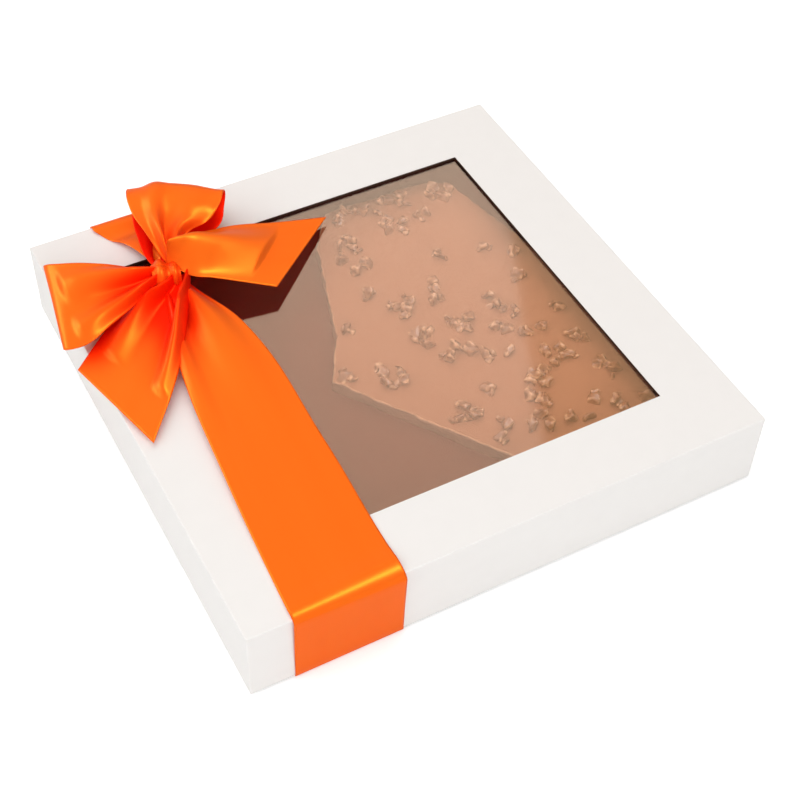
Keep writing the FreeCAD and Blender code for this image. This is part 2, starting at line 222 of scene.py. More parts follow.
def chocolate_finish(name, pale, deep, roughness, grain_height_mm, rim_highlight_share):
    """Chocolate: flow marks in the tone, fine grain in the bump, a painted rim highlight and painted hollow
    shade.
    """
    material, tree = new_material(name)
    place = add_node(tree, "ShaderNodeTexCoord").outputs["Object"]
    flow = add_node(tree, "ShaderNodeTexNoise",
                    {"Vector": place, "Scale": per_metre(CHOCOLATE_FLOW_MM), "Detail": 5.0,
                     "Distortion": 0.6})
    tone = add_node(tree, "ShaderNodeMix",
                    {"Factor": flow.outputs["Fac"], "A": colour(pale), "B": colour(deep)}, data_type="RGBA")
    # painted highlight where this attribute is high, painted shade where it is low
    painted_rim_light_hollow_shade = add_node(tree, "ShaderNodeAttribute", attribute_name="painted_rim_light_hollow_shade").outputs["Fac"]
    rim = add_node(tree, "ShaderNodeMapRange",
                   {"Value": painted_rim_light_hollow_shade, "From Min": RIM_FROM, "From Max": RIM_FULL, "To Max": rim_highlight_share})
    tone = add_node(tree, "ShaderNodeMix", {"Factor": rim.outputs["Result"], "A": tone.outputs["Result"],
                                            "B": colour(PAINTED_RIM_HIGHLIGHT_TONE)}, data_type="RGBA")
    hollow_shade = add_node(tree, "ShaderNodeMapRange",
                      {"Value": painted_rim_light_hollow_shade, "From Min": HOLLOW_FROM, "From Max": HOLLOW_FULL,
                       "To Max": HOLLOW_SHADE_SHARE})
    tone = add_node(tree, "ShaderNodeMix", {"Factor": hollow_shade.outputs["Result"], "A": tone.outputs["Result"],
                                            "B": colour(PAINTED_HOLLOW_SHADE_TONE)}, data_type="RGBA")
    grain = add_node(tree, "ShaderNodeTexNoise",
                     {"Vector": place, "Scale": per_metre(CHOCOLATE_GRAIN_MM), "Detail": 4.0})
    gloss = add_node(tree, "ShaderNodeMapRange",
                     {"Value": flow.outputs["Fac"], "To Min": roughness - GLOSS_SPREAD,
                      "To Max": roughness + GLOSS_SPREAD})
    bump = add_node(tree, "ShaderNodeBump",
                    {"Height": grain.outputs["Fac"], "Distance": grain_height_mm * MM, "Strength": 0.6})
    shader = add_node(tree, "ShaderNodeBsdfPrincipled",
                      {"Base Color": tone.outputs["Result"], "Roughness": gloss.outputs["Result"],
                       "IOR": CHOCOLATE_IOR, "Specular IOR Level": 0.25,
                       "Normal": bump.outputs["Normal"]})
    add_node(tree, "ShaderNodeOutputMaterial", {"Surface": shader.outputs["BSDF"]})
    return material


chocolate_skin = chocolate_finish("milk_chocolate_skin", "A2664A", "9A5D41", 0.5, 0.006, 0.0)
chocolate_break = chocolate_finish("milk_chocolate_fracture", "8A5949", "7F4E3E", 0.65, 0.15, 0.8)
chocolate_chip = chocolate_finish("milk_chocolate_topping", "955938", "884C2D", 0.42, 0.05, 0.7)
print("chocolate finishes:", chocolate_skin.name, chocolate_break.name, chocolate_chip.name)

# %% [markdown]
# ## Orange satin
# Satin ribbon is woven so that long threads float along its face and hide the cross threads. That gives a
# broad, silky highlight which stretches across the ribbon; the back is duller. The finish follows the
# ribbon's own UV map, which is in metres: fine lines run along it, a selvedge follows both edges, and the
# anisotropic gloss takes its direction from the same map. Real threads lie about 0.1 mm apart, which no
# pixel would show, so they are drawn at 0.5 mm. Dyed threads tint what they mirror, which a small metallic
# share gives. Such cloth also lets some light through, so a translucent share glows red from below. The
# shade in the folds is painted: a point attribute, filled in further down, tells how deep in a fold each
# point lies, and the colour turns deep red there, as painted shade for the light that bounces about in a
# fold and turns redder each time.

# %% Orange satin
RIBBON_WIDTH = 40 * MM
SATIN_THREAD_MM = 0.5
SATIN_SLUB_MM = 9.0
SATIN_RELIEF_MM = 0.025
THREAD_STRETCH = 0.04
SELVEDGE = 0.9 * MM
SATIN_THROUGH = 0.28
SATIN_METALLIC = 0.14
SATIN_TONES = ("FF7A20", "FF721A")
# painted shade: the deep red that the colour turns to deep in a fold
SATIN_PAINTED_SHADE_TONE = "FF1800"
SATIN_GLOW_TONE = "FF5A08"
SATIN_SHEEN_TONE = "FFB040"


def satin_finish(name, fold, smoothest, roughest):
    """Satin with its highlight along the ribbon map, and painted fold shade from the named point attribute.
    """
    material, tree = new_material(name)
    ribbon_map = add_node(tree, "ShaderNodeUVMap", uv_map="ribbon").outputs["UV"]
    along = add_node(tree, "ShaderNodeMapping", {"Vector": ribbon_map, "Scale": (1.0, THREAD_STRETCH, 1.0)})
    threads = add_node(tree, "ShaderNodeTexNoise", {"Vector": along.outputs["Vector"],
                                                    "Scale": per_metre(SATIN_THREAD_MM), "Detail": 2.0})
    slub = add_node(tree, "ShaderNodeTexNoise", {"Vector": along.outputs["Vector"],
                                                 "Scale": per_metre(SATIN_SLUB_MM), "Detail": 3.0})
    tone = add_node(tree, "ShaderNodeMix", {"Factor": slub.outputs["Fac"], "A": colour(SATIN_TONES[0]),
                                            "B": colour(SATIN_TONES[1])}, data_type="RGBA")
    # painted shade: the colour turns towards the deep red where the attribute says a fold is deep
    depth = add_node(tree, "ShaderNodeAttribute", attribute_name=fold).outputs["Fac"]
    dye_and_painted_shade = add_node(tree, "ShaderNodeMix", {"Factor": depth, "A": tone.outputs["Result"],
                                           "B": colour(SATIN_PAINTED_SHADE_TONE)}, data_type="RGBA")
    across = add_node(tree, "ShaderNodeSeparateXYZ", {"Vector": ribbon_map}).outputs["X"]
    from_middle = add_node(tree, "ShaderNodeMath", {0: across, 1: RIBBON_WIDTH / 2}, operation="SUBTRACT")
    off_middle = add_node(tree, "ShaderNodeMath", {0: from_middle.outputs["Value"]}, operation="ABSOLUTE")
    selvedge = add_node(tree, "ShaderNodeMapRange", {"Value": off_middle.outputs["Value"],
                                                     "From Min": RIBBON_WIDTH / 2 - SELVEDGE,
                                                     "From Max": RIBBON_WIDTH / 2 - SELVEDGE / 2})
    raised = add_node(tree, "ShaderNodeMath", {0: threads.outputs["Fac"], 1: selvedge.outputs["Result"]},
                      operation="ADD")
    bump = add_node(tree, "ShaderNodeBump",
                    {"Height": raised.outputs["Value"], "Distance": SATIN_RELIEF_MM * MM, "Strength": 0.5})
    gloss = add_node(tree, "ShaderNodeMapRange", {"Value": threads.outputs["Fac"], "To Min": smoothest,
                                                  "To Max": roughest})
    grain = add_node(tree, "ShaderNodeTangent", direction_type="UV_MAP", uv_map="ribbon")
    sheen = add_node(tree, "ShaderNodeBsdfPrincipled",
                     {"Base Color": dye_and_painted_shade.outputs["Result"], "Roughness": gloss.outputs["Result"],
                      "Anisotropic": 0.5, "Tangent": grain.outputs["Tangent"],
                      "Normal": bump.outputs["Normal"], "Metallic": SATIN_METALLIC,
                      "Specular IOR Level": 0.1, "Specular Tint": colour(SATIN_SHEEN_TONE)})
    glow = add_node(tree, "ShaderNodeBsdfTranslucent",
                    {"Color": colour(SATIN_GLOW_TONE), "Normal": bump.outputs["Normal"]})
    cloth = add_node(tree, "ShaderNodeMixShader", {0: SATIN_THROUGH, 1: sheen.outputs["BSDF"],
                                                   2: glow.outputs["BSDF"]})
    add_node(tree, "ShaderNodeOutputMaterial", {"Surface": cloth.outputs["Shader"]})
    return material


satin_face = satin_finish("orange_satin_face", "painted_fold_shade_of_face", 0.30, 0.40)
satin_back = satin_finish("orange_satin_back", "painted_fold_shade_of_back", 0.5, 0.6)
print("satin threads drawn every", SATIN_THREAD_MM, "mm")

# %% [markdown]
# ## Finishes on the kept nodes
# Boards, papers, film and card are flat sheets with crisp folds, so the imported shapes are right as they
# are. Each node says in the record which material slot it uses, and the slot picks the finish.

# %% Finish every kept node
FINISH = {"white_paper": wrap_paper, "lid_board": dyed_board, "grey_board": grey_board,
          "clear_film": clear_film, "brown_paper": lining_paper, "brown_card": insert_card,
          "chocolate": chocolate_skin, "satin_ribbon": satin_face}
for part in frame["record"]["subparts"]:
    mesh = nodes[part["node"]].data
    mesh.materials.clear()
    mesh.materials.append(FINISH[part["material_slot"]])

# %% [markdown]
# ## From bmesh to piece
# Every new piece ends the same way: its bmesh becomes an object at the origin, it takes a finish, it
# rides on a body, and the imported nodes it stands for are hidden.

# %% Make a piece from a bmesh
def make_piece(bm, name, finishes, body, replaced, smooth_angle=40.0):
    """Turns a bmesh into a finished piece, shaded smooth except at edges sharper than the angle."""
    bm.normal_update()
    for face in bm.faces:
        face.smooth = True
    for edge in bm.edges:
        edge.smooth = len(edge.link_faces) != 2 or edge.calc_face_angle(0.0) < math.radians(smooth_angle)
    mesh = bpy.data.meshes.new(name)
    bm.to_mesh(mesh)
    bm.free()
    for finish in finishes:
        mesh.materials.append(finish)
    piece = bpy.data.objects.new(name, mesh)
    bpy.context.scene.collection.objects.link(piece)
    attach(piece, body)
    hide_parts(*replaced)
    return piece


# %% [markdown]
# ## The chocolate slab
# The slab is a broken shard of a larger bar: flat on top, with ragged sides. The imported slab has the
# right outline, so a merged copy of it is sliced into small cells with cutting planes. Noise then moves
# the cells: strongly on the broken sides and their upper edge, and only a hair on the moulded top.

# %% Slab
SLAB_CELL = 2.2 * MM
SLAB_LAYERS = 4
BREAK_DEPTH = 0.75 * MM
BREAK_COARSE = 3.5 * MM
BREAK_FINE = 1.1 * MM
CHIPPED_EDGE = 1.2 * MM
# strength of the painted highlight on the fracture's upper edge
PAINTED_RIM_HIGHLIGHT = 0.5
TOP_WAVE = 0.10 * MM
TOP_WAVE_SIZE = 22 * MM
FINE_SHARE = 0.6
CHIP_SHARE = 0.6
FLAT_ENOUGH = 0.9
MERGE_WITHIN = 0.01 * MM
CUT_WITHIN = 0.005 * MM

slab_low, slab_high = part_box("chocolate_slab")
slab = bmesh.new()
slab.from_mesh(nodes["chocolate_slab"].data)
# point attribute that carries the painted rim highlight
slab_painted_rim_light = slab.verts.layers.float.new("painted_rim_light_hollow_shade")
bmesh.ops.remove_doubles(slab, verts=slab.verts, dist=MERGE_WITHIN)
bmesh.ops.dissolve_limit(slab, angle_limit=math.radians(1), verts=slab.verts, edges=slab.edges)
cuts = [SLAB_LAYERS if axis == 2 else round((slab_high - slab_low)[axis] / SLAB_CELL) for axis in range(3)]
for axis, count in enumerate(cuts):
    normal = Vector([1.0 if i == axis else 0.0 for i in range(3)])
    for i in range(1, count):
        at = slab_low.lerp(slab_high, i / count)
        bmesh.ops.bisect_plane(slab, geom=slab.verts[:] + slab.edges[:] + slab.faces[:], plane_co=at,
                               plane_no=normal, dist=CUT_WITHIN)
slab.normal_update()
top_level = slab_high.z - 0.05 * MM
for face in slab.faces:
    face.material_index = 0 if abs(face.normal.z) > FLAT_ENOUGH else 1
for vert in list(slab.verts):
    rim = any(face.material_index == 1 for face in vert.link_faces)
    outward = Vector((vert.normal.x, vert.normal.y, 0))
    if rim and outward.length > 0.01:
        # painted highlight: the upper edge of the broken sides gets a paler colour in the finish
        if vert.co.z > top_level:
            vert[slab_painted_rim_light] = PAINTED_RIM_HIGHLIGHT
        ragged = noise.noise(vert.co / BREAK_COARSE) + FINE_SHARE * noise.noise(vert.co / BREAK_FINE)
        vert.co += outward.normalized() * ragged * BREAK_DEPTH
        if vert.co.z > top_level - CHIPPED_EDGE:
            vert.co.z -= abs(noise.noise(vert.co / BREAK_FINE)) * BREAK_DEPTH * CHIP_SHARE
    elif vert.co.z > top_level:
        vert.co.z += noise.noise(vert.co / TOP_WAVE_SIZE) * TOP_WAVE
bmesh.ops.triangulate(slab, faces=[f for f in slab.faces if f.material_index == 1])
print("slab:", len(slab.faces), "faces, cut", cuts)
make_piece(slab, "slab_shard", [chocolate_skin, chocolate_break], "base", ["chocolate_slab"],
           smooth_angle=28.0)

# %% [markdown]
# ## The topping
# Crisp broken crumbs were scattered on the slab while it was soft, so each one is sunk a little and has
# raised rims round hollows. Each packed crumb gives one place, and some get a smaller neighbour or two.
# A convex hull round seeded random points gives a broken shape that no two crumbs share; it is subdivided,
# and noise then raises rims and sinks hollows. The same noise is kept as a point attribute, which paints a
# highlight on the raised rims and shade in the hollows.

# %% Topping crumbs
CRUMB_HALF = 3.8 * MM
CRUMB_POINTS = 10
CRUMB_LUMP = 1.1 * MM
CRUMB_LUMP_SIZE = 1.7 * MM
CRUMB_SINK = 1.1 * MM
CRUMB_NEIGHBOURS = 2
NEIGHBOUR_APART = 2.8 * MM
NEIGHBOUR_SIZES = (0.5, 0.75)
CRUMB_FLATNESS = 0.78
CRUMB_REACHES = (0.75, 1.1)
CRUMB_NARROWING = (0.75, 1.0)
CRUMB_CUTS = 3
CRUMB_SMOOTHINGS = 2
CRUMB_SEED = 7

crumb_places = []
crumb_copy = bmesh.new()
crumb_copy.from_mesh(nodes["topping_pieces"].data)
bmesh.ops.remove_doubles(crumb_copy, verts=crumb_copy.verts, dist=MERGE_WITHIN)
unseen = set(crumb_copy.verts)
while unseen:
    island = [unseen.pop()]
    for vert in island:
        for edge in vert.link_edges:
            other = edge.other_vert(vert)
            if other in unseen:
                unseen.remove(other)
                island.append(other)
    middle = sum((v.co for v in island), Vector()) / len(island)
    crumb_places.append((round(middle.x, 5), round(middle.y, 5)))
crumb_copy.free()
crumb_places.sort()

rng = np.random.default_rng(CRUMB_SEED)
crumbs = []
for x, y in crumb_places:
    crumbs.append((x, y, CRUMB_HALF))
    for _ in range(rng.integers(0, CRUMB_NEIGHBOURS + 1)):
        way = rng.uniform(0, math.tau)
        half = CRUMB_HALF * rng.uniform(*NEIGHBOUR_SIZES)
        crumbs.append((x + NEIGHBOUR_APART * math.cos(way), y + NEIGHBOUR_APART * math.sin(way), half))

topping = bmesh.new()
topping.verts.layers.float.new("painted_rim_light_hollow_shade")
for x, y, half in crumbs:
    crumb = bmesh.new()
    for spot in rng.uniform(-1, 1, (CRUMB_POINTS, 3)):
        spot = spot / np.linalg.norm(spot) * rng.uniform(*CRUMB_REACHES) * half
        crumb.verts.new(spot * (1.0, rng.uniform(*CRUMB_NARROWING), CRUMB_FLATNESS))
    bmesh.ops.convex_hull(crumb, input=crumb.verts)
    bmesh.ops.delete(crumb, geom=[v for v in crumb.verts if not v.link_faces], context="VERTS")
    bmesh.ops.rotate(crumb, verts=crumb.verts, matrix=Matrix.Rotation(rng.uniform(0, math.tau), 3, "Z"))
    bmesh.ops.subdivide_edges(crumb, edges=crumb.edges, cuts=CRUMB_CUTS, use_grid_fill=True)
    for _ in range(CRUMB_SMOOTHINGS):
        bmesh.ops.smooth_vert(crumb, verts=crumb.verts, factor=0.5, use_axis_x=True, use_axis_y=True,
                              use_axis_z=True)
    crumb.normal_update()
    # painted light: this attribute paints a highlight on raised rims and shade in hollows
    painted_rim_light_hollow_shade = crumb.verts.layers.float.new("painted_rim_light_hollow_shade")
    for vert in crumb.verts:
        lump = noise.noise(vert.co / CRUMB_LUMP_SIZE + Vector((x, y, 0)) / CRUMB_HALF)
        vert[painted_rim_light_hollow_shade] = lump
        vert.co += vert.normal * lump * CRUMB_LUMP
    low = min(v.co.z for v in crumb.verts)
    level = slab_high.z - low - CRUMB_SINK * half / CRUMB_HALF
    bmesh.ops.translate(crumb, verts=crumb.verts, vec=Vector((x, y, level)))
    crumb_mesh = bpy.data.meshes.new("crumb")
    crumb.to_mesh(crumb_mesh)
    crumb.free()
    topping.from_mesh(crumb_mesh)
    bpy.data.meshes.remove(crumb_mesh)
print("topping:", len(crumbs), "crumbs,", len(topping.faces), "faces")
topping_piece = make_piece(topping, "topping_crumbs", [chocolate_chip], "base",
                           ["topping_pieces"], smooth_angle=50.0)

# %% [markdown]
# ## How the ribbon is made
# Every stretch of the ribbon is the same 40 mm satin. Its two edges follow soft lines from the knot, and
# where those lines come closer than 40 mm the cloth has to fold. So each row of the sheet is laid out as
# cloth: ridges rise just far enough that the row is still 40 mm long, and its points are spaced evenly
# along the cloth. The folds then fan out of the knot and fade by themselves as the edges part. A cloth
# simulation could find such folds too, but it would not put them where the picture shows them.

# %% Ribbon helpers
RIBBON_THICK = 0.3 * MM
RIBBON_COLUMNS = 44
ROW_STEP = 1.3 * MM
knot_low, knot_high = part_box("bow_knot")
lid_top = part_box("lid_wrap")[1].z
KNOT = Vector(((knot_low.x + knot_high.x) / 2, (knot_low.y + knot_high.y) / 2, lid_top))


def soft_line(points):
    """Points along a smooth curve through points given in mm from the knot, at lid-top level."""
    curve = bpy.data.curves.new("edge", "CURVE")
    curve.dimensions = "3D"
    curve.resolution_u = 24
    spline = curve.splines.new("BEZIER")
    spline.bezier_points.add(len(points) - 1)
    for handle, point in zip(spline.bezier_points, points):
        handle.co = KNOT + Vector(point) * MM
        handle.handle_left_type = "AUTO"
        handle.handle_right_type = "AUTO"
    holder = bpy.data.objects.new("edge", curve)
    mesh = bpy.data.meshes.new_from_object(holder)
    line = np.array([v.co for v in mesh.vertices])
    bpy.data.objects.remove(holder)
    bpy.data.curves.remove(curve)
    bpy.data.meshes.remove(mesh)
    return line


def line_length(line):
    return float(np.linalg.norm(np.diff(line, axis=0), axis=1).sum())


def even_rows(line, rows):
    """The same line as rows + 1 points at even distances."""
    run = np.concatenate([[0.0], np.cumsum(np.linalg.norm(np.diff(line, axis=0), axis=1))])
    at = np.linspace(0.0, run[-1], rows + 1)
    return np.stack([np.interp(at, run, line[:, i]) for i in range(3)], axis=1)


def edges_of(left_points, right_points):
    """Both edges of a ribbon stretch, in step with each other."""
    left, right = soft_line(left_points), soft_line(right_points)
    rows = round(max(line_length(left), line_length(right)) / ROW_STEP)
    return even_rows(left, rows), even_rows(right, rows)


print("knot middle:", [round(v, 4) for v in KNOT])

# %% One sheet of ribbon
FINE = np.linspace(0.0, 1.0, 221)
NECK_LENGTH = 12 * MM
FADE_POWER = 1.4
PUFF_FALL = 1.5
HALVINGS = 18


def ridge_shape(ridges):
    """Height across the ribbon for unit folds: each ridge is (place, half width, share)."""
    height = np.zeros_like(FINE)
    for place, half_width, share in ridges:
        off = np.clip(np.abs(FINE - place) / half_width, 0.0, 1.0)
        height += share * np.cos(off * math.pi / 2) ** 2
    return height


def laid_row(chord, shape, most, width, columns):
    """Where the row's points lie across the chord, and how high, so that the cloth keeps its width."""
    low, high = 0.0, most
    for _ in range(HALVINGS):
        middle = (low + high) / 2
        cloth = np.hypot(chord * np.diff(FINE), middle * np.diff(shape)).sum()
        low, high = (middle, high) if cloth < width else (low, middle)
    run = np.concatenate([[0.0], np.cumsum(np.hypot(chord * np.diff(FINE), low * np.diff(shape)))])
    at = np.linspace(0.0, run[-1], columns + 1)
    return np.interp(at, run, FINE), np.interp(at, run, low * shape)


def ribbon_sheet(left, right, ridges, crest, fade, puffs=(), loop=False, neck=0.3, width=RIBBON_WIDTH,
                 columns=RIBBON_COLUMNS):
    """A bmesh sheet between two edges. Folds are at most crest high at the knot and fade with distance
    from it, a loop's from both its ends, and the knot squeezes them to the neck's share of that; each puff is
    (across, distance, half width, half length, height)."""
    rows = len(left) - 1
    middle = (left + right) / 2
    along = np.gradient(middle, axis=0)
    normal = np.cross(along, right - left)
    normal /= np.linalg.norm(normal, axis=1)[:, None]
    if normal[0, 2] < 0:
        normal = -normal
    run = np.concatenate([[0.0], np.cumsum(np.linalg.norm(np.diff(middle, axis=0), axis=1))])
    away = np.minimum(run, run[-1] - run) if loop else run
    shape = ridge_shape(ridges)
    places = np.zeros((rows + 1, columns + 1, 3))
    for j in range(rows + 1):
        squeeze = min(1.0, neck + (1.0 - neck) * away[j] / NECK_LENGTH)
        most = crest * max(0.0, 1.0 - away[j] / fade) ** FADE_POWER * squeeze
        across, rise = laid_row(np.linalg.norm(right[j] - left[j]), shape, most, width, columns)
        cloth_across = np.linspace(0.0, 1.0, columns + 1)
        for place, distance, half_width, half_length, height in puffs:
            off = np.hypot((cloth_across - place) * width / half_width, (run[j] - distance) / half_length)
            rise = rise + height * np.exp(-(off ** 2) * PUFF_FALL)
        places[j] = left[j] + np.outer(across, right[j] - left[j]) + np.outer(rise, normal[j])
    bm = bmesh.new()
    layer = bm.loops.layers.uv.new("ribbon")
    bmesh.ops.create_grid(bm, x_segments=columns, y_segments=rows, size=0.5, calc_uvs=False)
    step = {}
    for vert in bm.verts:
        step[vert] = (round((vert.co.y + 0.5) * rows), round((vert.co.x + 0.5) * columns))
    for vert, (j, i) in step.items():
        vert.co = Vector(places[j, i])
    for face in bm.faces:
        for corner in face.loops:
            j, i = step[corner.vert]
            corner[layer].uv = (i / columns * width, run[j])
    bm.normal_update()
    lead = sum(Vector(normal[0]).dot(f.normal) for f in bm.faces if any(step[v][0] == 0 for v in f.verts))
    if lead < 0:
        bmesh.ops.reverse_faces(bm, faces=bm.faces)
    return bm, float(run[-1])


def finish_ribbon(bm, name, length, replaced, width=RIBBON_WIDTH):
    """A satin piece on the lid, with its thickness; it prints its area against the flat size of its cloth."""
    piece = make_piece(bm, name, [satin_face, satin_back], "lid", replaced, smooth_angle=75.0)
    thick = piece.modifiers.new("thickness", "SOLIDIFY")
    thick.thickness = RIBBON_THICK
    thick.offset = 0.0
    thick.material_offset = 1
    faces = piece.data.polygons
    share = sum(face.area for face in faces) / (width * length)
    print(f"{name}: {length / MM:.0f} mm of ribbon, {share:.2f} of its flat area, {len(faces)} faces")
    return piece


print("a row is laid out on", RIBBON_COLUMNS + 1, "points")

# %% [markdown]
# ## Ribbon round the box
# One strand runs from the knot to the front edge and one to the back edge. Each bends over the lid edge,
# hangs down the wall, turns under the rim and is glued up inside. Stiff satin doesn't follow a sharp
# corner: it begins to bend well before it, so the bend is longer on top than on the wall, and it stands a
# little off the wall, more so on the side that pulls away.

# %% Strands and drops
LID_HALF_MM = 100.0
LID_TOP_MM = lid_top / MM
RIM_MM = 1.2
EDGE_ROUND_MM = 0.45
LID_INNER_MM = 98.1
RIBBON_OFF_MM = 0.35
TUCK_TOP_MM = 14.0
BEND_LONG = 2.0
BEND_PROUD = 0.34
BEND_STEPS = 14
HANG_POWER = 1.5
WALL_STEPS = 12
RIM_STEPS = 4
TUCK_STEPS = 6
LANDING_MM = 8
LYING_MM = 0.5


def over_edge(x_mm, side, bend_mm):
    """One ribbon edge over the lid edge, down the wall, round the rim and up inside, in metres."""
    proud = BEND_PROUD * bend_mm + RIBBON_OFF_MM
    centre_y = LID_HALF_MM + proud - BEND_LONG * bend_mm
    centre_z = LID_TOP_MM + proud - bend_mm
    path = []
    for i in range(BEND_STEPS + 1):
        swing = math.radians(90 - 90 * i / BEND_STEPS)
        path.append((centre_y + BEND_LONG * bend_mm * math.cos(swing), centre_z + bend_mm * math.sin(swing)))
    rim_y = LID_HALF_MM - EDGE_ROUND_MM
    rim_z = RIM_MM + EDGE_ROUND_MM
    for i in range(1, WALL_STEPS + 1):
        left_over = 1 - i / WALL_STEPS
        off = RIBBON_OFF_MM + (proud - RIBBON_OFF_MM) * left_over ** HANG_POWER
        path.append((LID_HALF_MM + off, rim_z + (centre_z - rim_z) * left_over))
    radius = EDGE_ROUND_MM + RIBBON_OFF_MM
    for turn_y, start in ((rim_y, 0), (LID_INNER_MM + EDGE_ROUND_MM, -90)):
        for i in range(1, RIM_STEPS + 1):
            swing = math.radians(start - 90 * i / RIM_STEPS)
            path.append((turn_y + radius * math.cos(swing), rim_z + radius * math.sin(swing)))
    for i in range(1, TUCK_STEPS + 1):
        path.append((path[-1][0], rim_z + (TUCK_TOP_MM - rim_z) * i / TUCK_STEPS))
    return np.array([(x_mm, side * y, z) for y, z in path]) * MM


def strand(left_points, right_points, left_x, right_x, side, bends):
    """Both edges of a strand from the knot to its end inside the lid wall."""
    drops = [over_edge(x, side, bend) for x, bend in zip((left_x, right_x), bends)]
    ends = [(Vector(drop[0]) - KNOT) / MM for drop in drops]
    lasts = (Vector(left_points[-1]), Vector(right_points[-1]))
    near = [last.lerp(end, 1 - LANDING_MM / (end.xy - last.xy).length) for last, end in zip(lasts, ends)]
    left, right = edges_of(left_points + [(*near[0].xy, LYING_MM), ends[0]],
                           right_points + [(*near[1].xy, LYING_MM), ends[1]])
    return np.vstack([left, drops[0][1:]]), np.vstack([right, drops[1][1:]])


left, right = strand([(-4.5, -1, 6.5), (-5.5, -6, 6.5), (-14.3, -42.3, 4.6), (-19.7, -94, 2.4)],
                     [(4.5, -1, 6.5), (5.5, -6, 6.5), (15.1, -30.6, 5.2), (17.5, -94, 2.4)],
                     -84.0, -44.0, -1, (2.2, 3.6))
bm, length = ribbon_sheet(left, right, [(0.1, 0.16, 0.8), (0.62, 0.36, 1.0)], 5.5 * MM, 90 * MM)
front_ribbon = finish_ribbon(bm, "front_ribbon", length,
                             ["ribbon_front_strand", "ribbon_front_drop"])

left, right = strand([(0.5, 2, 6.5), (-1.5, 8, 6.4), (-3, 15, 5.4), (-7.2, 30, 2.8)],
                     [(4.5, 1, 6.5), (6.5, 6, 6.5), (13, 16, 5.4), (20, 30, 2.8)],
                     -75.0, -35.0, 1, (2.2, 2.8))
bm, length = ribbon_sheet(left, right, [(0.3, 0.3, 1.0), (0.8, 0.2, 0.7)], 3.0 * MM, 40 * MM)
back_ribbon = finish_ribbon(bm, "back_ribbon", length,
                            ["ribbon_back_strand", "ribbon_back_drop"])

# %% [markdown]
# ## Loops and tails
# The bow has one loop over the left edge, one that stands up towards the back, and two tails cut on the
# slant. Each is a single sheet; a loop simply goes out, round its fold and back under itself. The ridges
# sit where the picture shows a fold catching the light.

# %% Left loop
left, right = edges_of([(-1.5, -1.5, 10.8), (-7.5, -4.6, 10.8), (-17.5, -9.8, 9.6), (-28, -14, 8.6),
                        (-40.3, -18.6, 7.4), (-47.6, -15.6, 5.6), (-40, -15, 4.4), (-24, -10.2, 6),
                        (-7.5, -4, 7.6), (-2, -2, 7.8)],
                       [(-1.5, 1.5, 10.8), (-7.5, 4.2, 11), (-21.5, 11.5, 13.6), (-34.5, 18.5, 13.4),
                        (-40.3, 24.5, 9), (-33.5, 23, 4.6), (-20.5, 14.5, 4.4), (-7.5, 4, 7.6), (-2, 2, 7.8)])
bm, length = ribbon_sheet(left, right, [(0.2, 0.2, 0.8), (0.72, 0.28, 1.0)], 6.0 * MM, 62 * MM, loop=True)
left_loop = finish_ribbon(bm, "left_loop", length, ["bow_left_loop"])

# %% Back loop
left, right = edges_of([(0.5, 1.5, 11), (-0.5, 6.5, 12.4), (-1.9, 16.4, 16), (-2.8, 29.8, 17.4),
                        (-0.6, 40.5, 17.4), (2, 44.5, 13), (0.4, 40, 9), (-3, 26, 8.4), (-4, 6, 9.2),
                        (-2, 2, 9.2)],
                       [(4.5, 1.5, 11), (7.5, 8, 12.4), (14, 14.5, 12.8), (22.5, 16.2, 13.4),
                        (29, 20.6, 15.2), (35, 28.6, 13.6), (33, 25.4, 10), (28, 18.5, 7.6),
                        (18, 14.5, 7.6), (6, 7, 9), (4, 2, 9.2)])
bm, length = ribbon_sheet(left, right, [(0.28, 0.16, 1.0), (0.72, 0.26, 0.7)], 6.0 * MM, 54 * MM,
                          [(0.42, 43 * MM, 15 * MM, 13 * MM, 3.2 * MM)], loop=True)
back_loop = finish_ribbon(bm, "back_loop", length, ["bow_back_loop"])

# %% Left tail
left, right = edges_of([(6.8, -2.5, 9.6), (5.5, -6, 9.6), (1.7, -14, 9), (-14.5, -42.4, 5.4),
                        (-34.9, -67.8, 2.4)],
                       [(-1.5, -3, 9.8), (-5.5, -5, 9), (-14.5, -4.5, 6.2), (-27, -9.5, 4.2), (-37, -16.6, 3),
                        (-45.9, -24.1, 2.4)])
bm, length = ribbon_sheet(left, right, [(0.13, 0.15, 1.0), (0.78, 0.24, 0.8)], 9.0 * MM, 64 * MM,
                          [(0.4, 8 * MM, 3 * MM, 4 * MM, 2.6 * MM)])
left_tail = finish_ribbon(bm, "left_tail", length, ["bow_left_tail"])

# %% Right tail
left, right = edges_of([(0, 3, 12.2), (3.4, -3.5, 12), (5.8, -7.6, 12.2), (12.3, -10.8, 11.2),
                        (22, -15.1, 8.6), (33.9, -20.1, 5)],
                       [(1.5, 5, 12.6), (6.2, 9.3, 12.8), (11.5, 12.1, 12), (17.3, 14, 11),
                        (22.9, 14.1, 10.2), (31.5, 14.5, 8.6), (49.1, 12.8, 4.6), (69.3, 10.4, 1.2)])
bm, length = ribbon_sheet(left, right, [(0.5, 0.5, 1.0)], 13.0 * MM, 55 * MM, neck=0.8)
right_tail = finish_ribbon(bm, "right_tail", length, ["bow_right_tail"])

# %% [markdown]
# ## The knot
# The same ribbon, folded in on itself, goes once round the middle and holds everything. It is a sheet
# like the others, bent into a ring whose ends meet, with its folds running round it.

# %% Knot band
KNOT_BAND_WIDTH = 15 * MM
KNOT_TURN = math.radians(-14)
KNOT_SHIFT = 1.6 * MM
RING_ROWS = 64
RING_COLUMNS = 36
ENDLESS = 1e3
KNOT_INSET_Y = 1.0 * MM
KNOT_INSET_Z = 0.9 * MM
KNOT_HALF_LONG = 5.2 * MM

